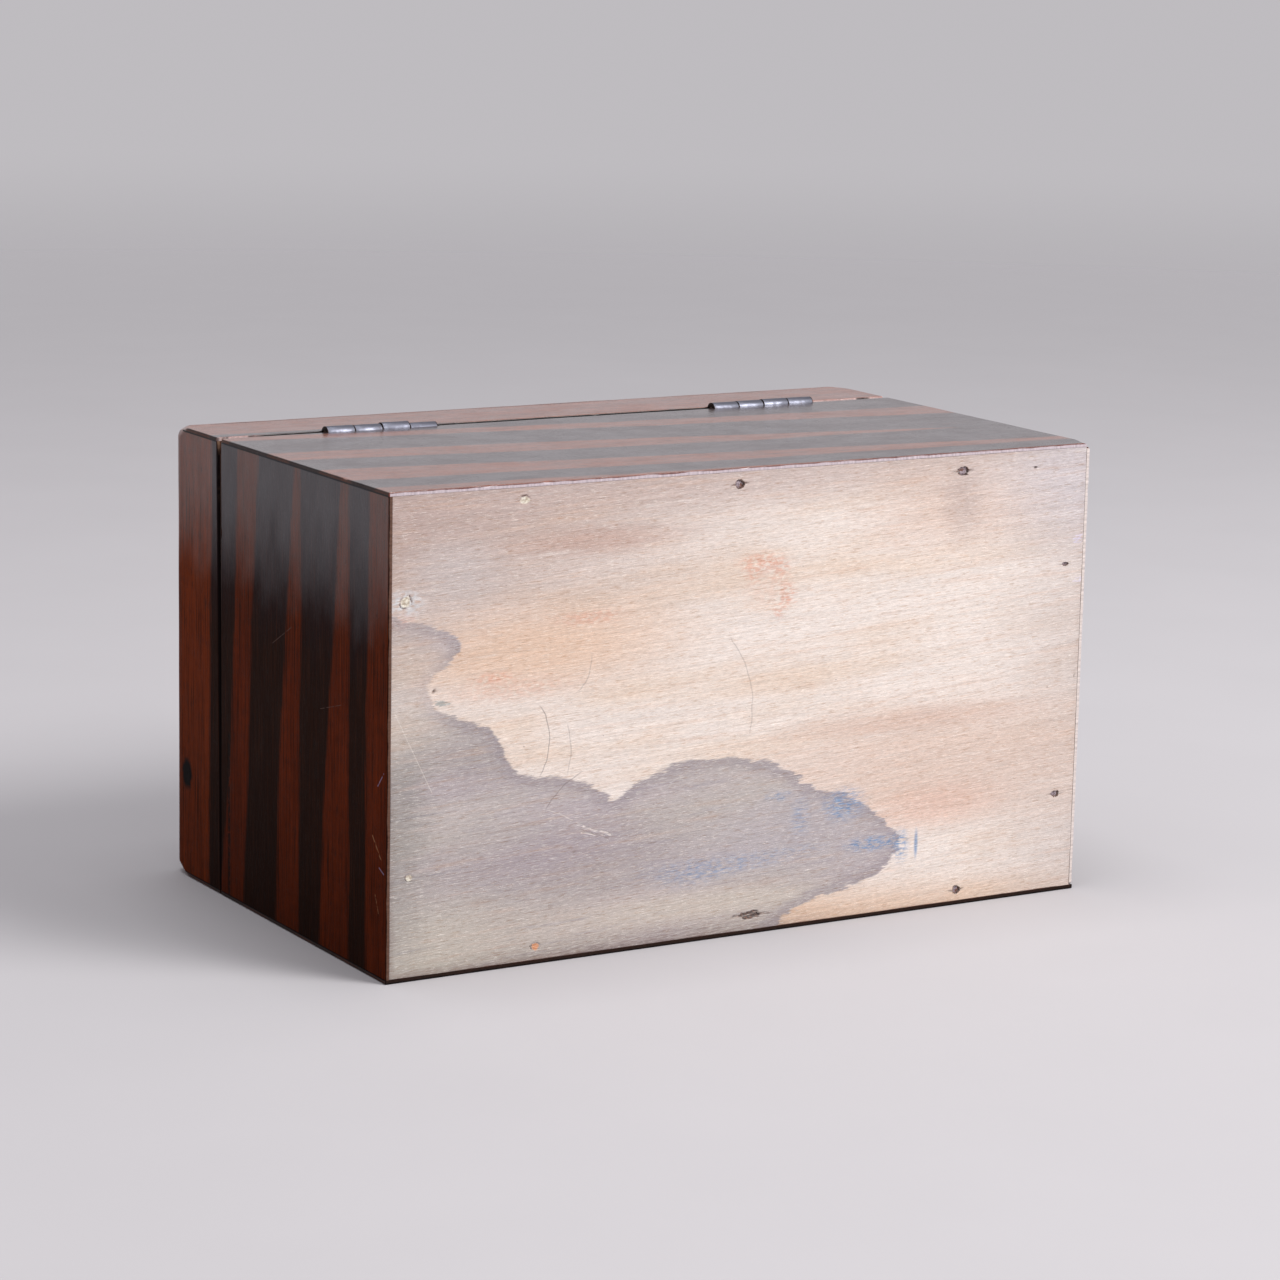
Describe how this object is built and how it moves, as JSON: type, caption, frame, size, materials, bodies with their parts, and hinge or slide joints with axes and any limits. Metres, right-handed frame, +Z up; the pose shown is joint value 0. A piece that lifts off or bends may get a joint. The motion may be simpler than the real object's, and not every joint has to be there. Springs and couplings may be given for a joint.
{
  "type": "tea caddy",
  "caption": "Two-compartment wooden tea caddy with striped veneer, a hinged lid with rounded edges, a mortised box lock and lift-out inner lids.",
  "frame": {"origin": "centre of the underside, on the face it stands on", "axes": "+X to the right seen from the front, -Y out of the front (keyhole side), +Y out of the back (hinge side), +Z up"},
  "size_m": [0.2, 0.1184, 0.122],
  "materials": {
    "striped_veneer": "dark striped hardwood veneer, french polished",
    "striped_edging": "solid striped hardwood, french polished",
    "carcass_pine": "planed softwood",
    "bottom_pine": "bare, stained softwood",
    "facing_mahogany": "thin polished hardwood",
    "inner_lid_wood": "polished hardwood",
    "knob_ebony": "turned, polished",
    "tin_foil": "dull tea-chest foil",
    "lining_velvet": "faded velvet",
    "hinge_steel": "worn steel",
    "screw_steel": "aged steel",
    "nail_iron": "oxidised iron",
    "lock_brass": "aged brass",
    "lock_steel": "filed steel",
    "screw_brass": "aged brass"
  },
  "bodies": {
    "body": {"front_veneer": "striped_veneer", "back_veneer": "striped_veneer", "right_end_veneer": "striped_veneer", "left_end_veneer": "striped_veneer", "front_board": "carcass_pine", "back_board": "carcass_pine", "right_end_board": "carcass_pine", "left_end_board": "carcass_pine", "front_facing": "facing_mahogany", "back_facing": "facing_mahogany", "right_facing": "facing_mahogany", "left_facing": "facing_mahogany", "divider": "facing_mahogany", "right_hinge_body_leaf": "hinge_steel", "right_hinge_pin": "hinge_steel", "left_hinge_body_leaf": "hinge_steel", "left_hinge_pin": "hinge_steel", "bottom_board": "bottom_pine", "bottom_nails": "nail_iron", "right_foil": "tin_foil", "left_foil": "tin_foil", "hinge_body_screws": "screw_steel", "lock_case": "lock_brass", "lock_cap": "lock_brass", "lock_key_pin": "lock_steel", "lock_spring": "lock_steel", "lock_screws": "screw_brass", "escutcheon": "lock_brass"},
    "lid": {"lid_front_rail": "carcass_pine", "lid_back_rail": "carcass_pine", "lid_right_rail": "carcass_pine", "lid_left_rail": "carcass_pine", "lid_top_board": "carcass_pine", "lid_top_veneer": "striped_veneer", "lid_front_veneer": "striped_veneer", "lid_back_veneer": "striped_veneer", "lid_right_veneer": "striped_veneer", "lid_left_veneer": "striped_veneer", "lid_front_edging": "striped_edging", "lid_back_edging": "striped_edging", "lid_right_edging": "striped_edging", "lid_left_edging": "striped_edging", "lid_lining": "lining_velvet", "right_hinge_lid_leaf": "hinge_steel", "left_hinge_lid_leaf": "hinge_steel", "hinge_lid_screws": "screw_steel", "link_plate": "lock_brass", "link_plate_screws": "screw_brass"},
    "bolt": {"lock_bolt": "lock_steel"},
    "right_cover": {"right_inner_lid": "inner_lid_wood", "right_knob": "knob_ebony"},
    "left_cover": {"left_inner_lid": "inner_lid_wood", "left_knob": "knob_ebony"}
  },
  "joints": [
    {"name": "lid_hinge", "type": "hinge", "parent": "body", "child": "lid", "pos_m": [0, 0.058, 0.0929], "axis": [-1, 0, 0], "range_deg": [0, 120]},
    {"name": "bolt_slide", "type": "slide", "parent": "body", "child": "bolt", "axis": [1, 0, 0], "range_m": [0, 0.0055]},
    {"name": "right_inner_lid_lift", "type": "slide", "parent": "body", "child": "right_cover", "axis": [0, 0, 1], "range_m": [0, 0.015]},
    {"name": "left_inner_lid_lift", "type": "slide", "parent": "body", "child": "left_cover", "axis": [0, 0, 1], "range_m": [0, 0.015]}
  ]
}
